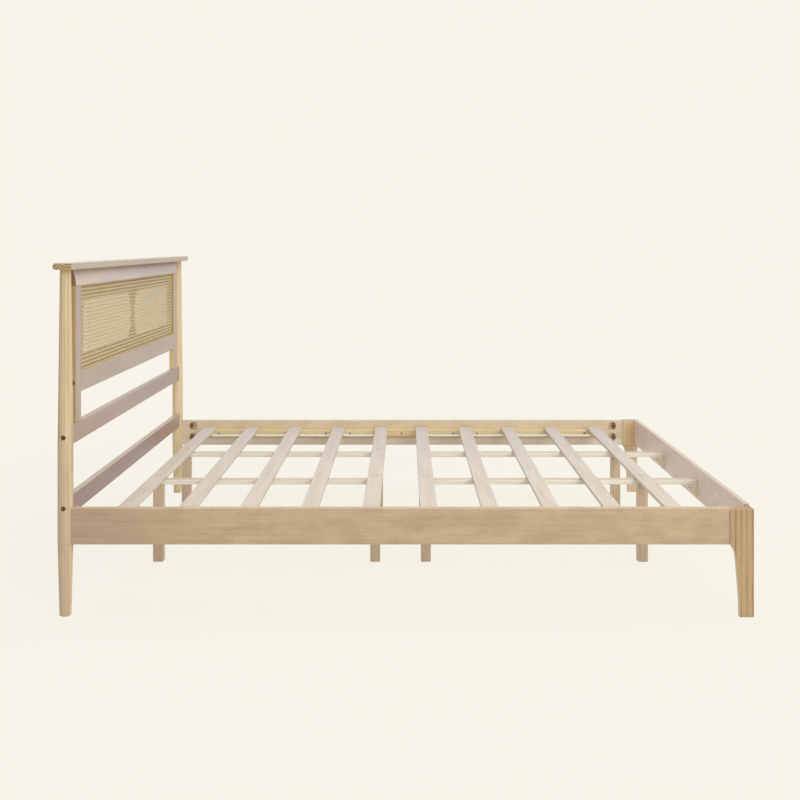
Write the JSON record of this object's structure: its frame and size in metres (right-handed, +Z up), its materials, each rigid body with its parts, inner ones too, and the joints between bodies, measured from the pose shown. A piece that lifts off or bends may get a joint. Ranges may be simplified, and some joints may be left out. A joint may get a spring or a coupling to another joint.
{
  "type": "bed frame",
  "caption": "Slatted wooden bed frame with turned headboard posts, a woven cane headboard panel, bracketed foot legs and square centre legs; carries a mattress between its rails.",
  "frame": {"origin": "on the floor, under the middle of the bed's bounding box", "axes": "+X from head to foot, +Y to the right of someone at the foot who faces the headboard, +Z up"},
  "size_m": [2.11, 1.679, 1.071],
  "materials": {
    "post": "clear-lacquered turned pine, straight grain",
    "rail": "clear-lacquered sawn and sanded pine, satin",
    "headboard": "clear-lacquered pine, satin",
    "slat": "planed bare poplar, matt",
    "centre_leg": "lacquered pine, satin",
    "pine": "planed bare pine, matt",
    "dowel": "fluted beech",
    "cane": "woven natural cane, slightly glossy skin",
    "spline": "round reed",
    "strap": "woven polyester webbing",
    "bolt": "dark bronze plated",
    "steel": "zinc plated"
  },
  "bodies": {
    "root": {"barrel_nuts": "steel", "cane_backing_brace": "pine", "cane_backing_rails": "pine", "cane_backing_stiles": "pine", "cane_spline": "spline", "cane_webbing": "cane", "centre_leg_bolts": "bolt", "centre_leg_left_1": "centre_leg", "centre_leg_left_2": "centre_leg", "centre_leg_left_3": "centre_leg", "centre_leg_left_4": "centre_leg", "centre_leg_right_1": "centre_leg", "centre_leg_right_2": "centre_leg", "centre_leg_right_3": "centre_leg", "centre_leg_right_4": "centre_leg", "cleat_screws": "steel", "dowels": "dowel", "foot_leg_left": "rail", "foot_leg_right": "rail", "foot_rail": "rail", "half_moon_washers": "bolt", "headboard_bolts": "bolt", "headboard_cap": "rail", "headboard_post_left": "post", "headboard_post_right": "post", "headboard_slat_lower": "headboard", "headboard_slat_upper": "headboard", "ledger_left": "pine", "ledger_right": "pine", "ledger_screws": "steel", "panel_bottom_rail": "headboard", "panel_stile_left": "headboard", "panel_stile_right": "headboard", "panel_top_rail": "headboard", "side_rail_bolts": "bolt", "side_rail_left": "rail", "side_rail_nuts": "bolt", "side_rail_right": "rail", "slat_01": "slat", "slat_02": "slat", "slat_03": "slat", "slat_04": "slat", "slat_05": "slat", "slat_06": "slat", "slat_07": "slat", "slat_08": "slat", "slat_09": "slat", "slat_10": "slat", "slat_screws": "steel", "strap_left_1": "strap", "strap_left_2": "strap", "strap_right_1": "strap", "strap_right_2": "strap", "stretcher_cleat_left": "pine", "stretcher_cleat_right": "pine", "stretcher_foot_left": "pine", "stretcher_foot_right": "pine", "stretcher_head_left": "pine", "stretcher_head_right": "pine"}
  },
  "joints": []
}
